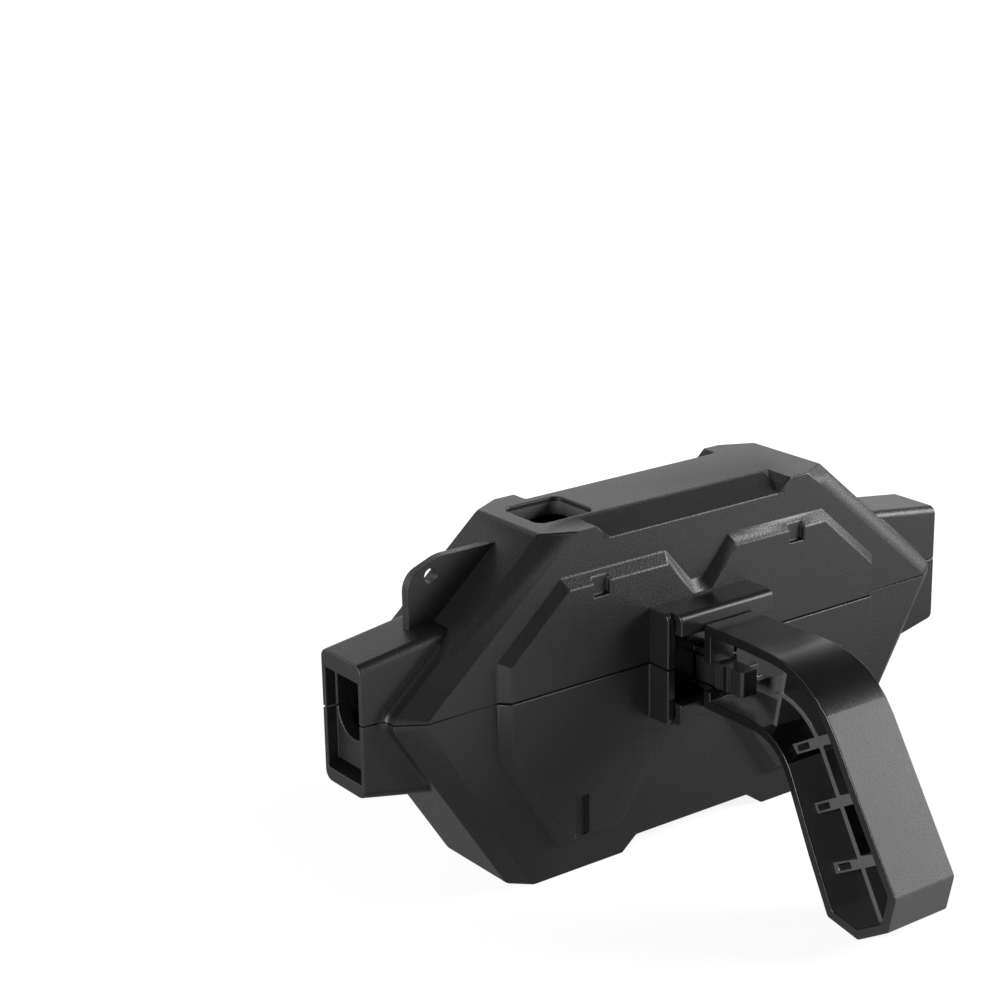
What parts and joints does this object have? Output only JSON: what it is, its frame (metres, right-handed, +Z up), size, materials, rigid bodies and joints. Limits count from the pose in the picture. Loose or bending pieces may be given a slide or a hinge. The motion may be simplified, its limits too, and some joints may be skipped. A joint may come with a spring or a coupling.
{
  "type": "bike chain cleaner",
  "caption": "Hinged black plastic case that closes round a bicycle chain, with rotating brush wheels inside and a bent handle that slides onto its front.",
  "frame": {"origin": "on the chain line, in the middle of the case, on the plane where lid and lower case part", "axes": "+X along the chain, from the port near the lanyard tab to the other; -Y towards the handle; +Z up through the lid"},
  "size_m": [0.22, 0.1422, 0.1027],
  "materials": {
    "case_plastic": "fine textured black, moulded",
    "handle_plastic": "fine textured black, smoother on the foot and lever",
    "brush_plastic": "smooth moulded, dark grey",
    "bristles": "nylon filaments, off-white",
    "steel": "turned steel",
    "sponge": "open-cell foam, yellow",
    "magnet": "nickel-plated disc magnet"
  },
  "bodies": {
    "case": {"lower_case": "case_plastic", "hinge_pin": "steel", "base_axle_left": "steel", "base_axle_right": "steel", "side_brush_front": "brush_plastic", "side_brush_rear": "brush_plastic", "side_bristles_front": "bristles", "side_bristles_rear": "bristles", "sponge_lower": "sponge", "magnet": "magnet"},
    "lid": {"lid": "case_plastic", "lid_axle_left": "steel", "lid_axle_right": "steel", "sponge_upper": "sponge"},
    "handle": {"handle": "handle_plastic", "lever_pin": "steel"},
    "release_lever": {"release_lever": "handle_plastic"},
    "lid_brush_left": {"lid_hub_left": "brush_plastic", "lid_bristles_left": "bristles"},
    "lid_brush_right": {"lid_hub_right": "brush_plastic", "lid_bristles_right": "bristles"},
    "base_brush_left": {"base_hub_left": "brush_plastic", "base_bristles_left": "bristles"},
    "base_brush_right": {"base_hub_right": "brush_plastic", "base_bristles_right": "bristles"}
  },
  "joints": [
    {"name": "lid_hinge", "type": "hinge", "parent": "case", "child": "lid", "pos_m": [0, 0.0262, 0], "axis": [-1, 0, 0], "range_deg": [0, 100]},
    {"name": "handle_slide", "type": "slide", "parent": "case", "child": "handle", "axis": [1, 0, 0], "range_m": [0, 0.042]},
    {"name": "lever_press", "type": "hinge", "parent": "handle", "child": "release_lever", "pos_m": [-0.0031, -0.0333, -0.0032], "axis": [0, 0, 1], "range_deg": [0, 8], "stiffness_Nm_per_rad": 0.05, "springref_deg": -2.86},
    {"name": "lid_brush_left_spin", "type": "hinge", "parent": "lid", "child": "lid_brush_left", "pos_m": [-0.021, 0, 0.021], "axis": [0, 1, 0], "continuous": true},
    {"name": "lid_brush_right_spin", "type": "hinge", "parent": "lid", "child": "lid_brush_right", "pos_m": [0.021, 0, 0.021], "axis": [0, 1, 0], "continuous": true},
    {"name": "base_brush_left_spin", "type": "hinge", "parent": "case", "child": "base_brush_left", "pos_m": [-0.021, 0, -0.021], "axis": [0, 1, 0], "continuous": true},
    {"name": "base_brush_right_spin", "type": "hinge", "parent": "case", "child": "base_brush_right", "pos_m": [0.021, 0, -0.021], "axis": [0, 1, 0], "continuous": true}
  ]
}
